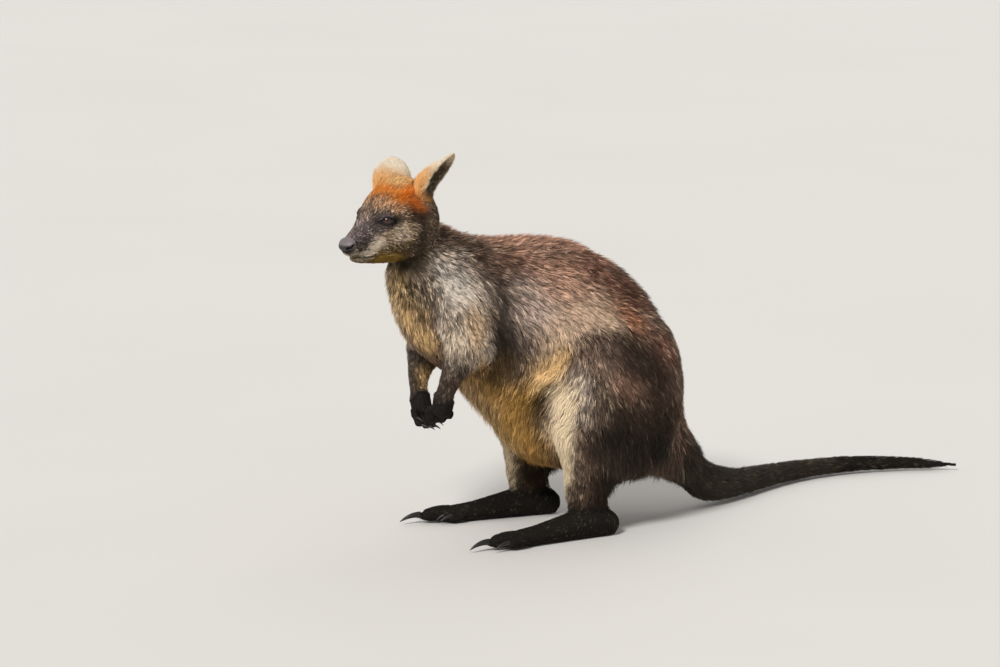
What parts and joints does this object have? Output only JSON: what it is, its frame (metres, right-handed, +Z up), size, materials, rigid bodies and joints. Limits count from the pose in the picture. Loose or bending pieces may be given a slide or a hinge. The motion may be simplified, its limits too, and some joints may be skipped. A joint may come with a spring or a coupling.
{
  "type": "swamp wallaby",
  "caption": "Still life-size wallaby standing low on its hind feet with its paws held together, head turned a little to its left and tail laid along the floor.",
  "frame": {"origin": "on the floor, under the middle of the whole animal's box", "axes": "+Z up, +X to the animal's left, -Y the way its trunk faces, so +Y runs back along the tail"},
  "size_m": [0.2436, 0.9664, 0.5037],
  "materials": {
    "coat": "dense grizzled fur, dark brown to yellow-tan",
    "nose": "moist black skin",
    "eye": "wet dark brown eye",
    "claw": "dark horn with a slight shine"
  },
  "bodies": {
    "root": {"head": "coat", "nose": "nose", "jaw": "coat", "neck": "coat", "chest": "coat", "rump": "coat", "tail_base": "coat", "tail_middle": "coat", "tail_tip": "coat", "eye_left": "eye", "ear_left": "coat", "upper_arm_left": "coat", "forearm_left": "coat", "hand_left": "coat", "claw_hand_left_1": "claw", "claw_hand_left_2": "claw", "claw_hand_left_3": "claw", "claw_hand_left_4": "claw", "claw_hand_left_5": "claw", "thigh_left": "coat", "shank_left": "coat", "foot_left": "coat", "claw_foot_left_second": "claw", "claw_foot_left_third": "claw", "claw_foot_left_fourth": "claw", "claw_foot_left_fifth": "claw", "eye_right": "eye", "ear_right": "coat", "upper_arm_right": "coat", "forearm_right": "coat", "hand_right": "coat", "claw_hand_right_1": "claw", "claw_hand_right_2": "claw", "claw_hand_right_3": "claw", "claw_hand_right_4": "claw", "claw_hand_right_5": "claw", "thigh_right": "coat", "shank_right": "coat", "foot_right": "coat", "claw_foot_right_second": "claw", "claw_foot_right_third": "claw", "claw_foot_right_fourth": "claw", "claw_foot_right_fifth": "claw"}
  },
  "joints": []
}
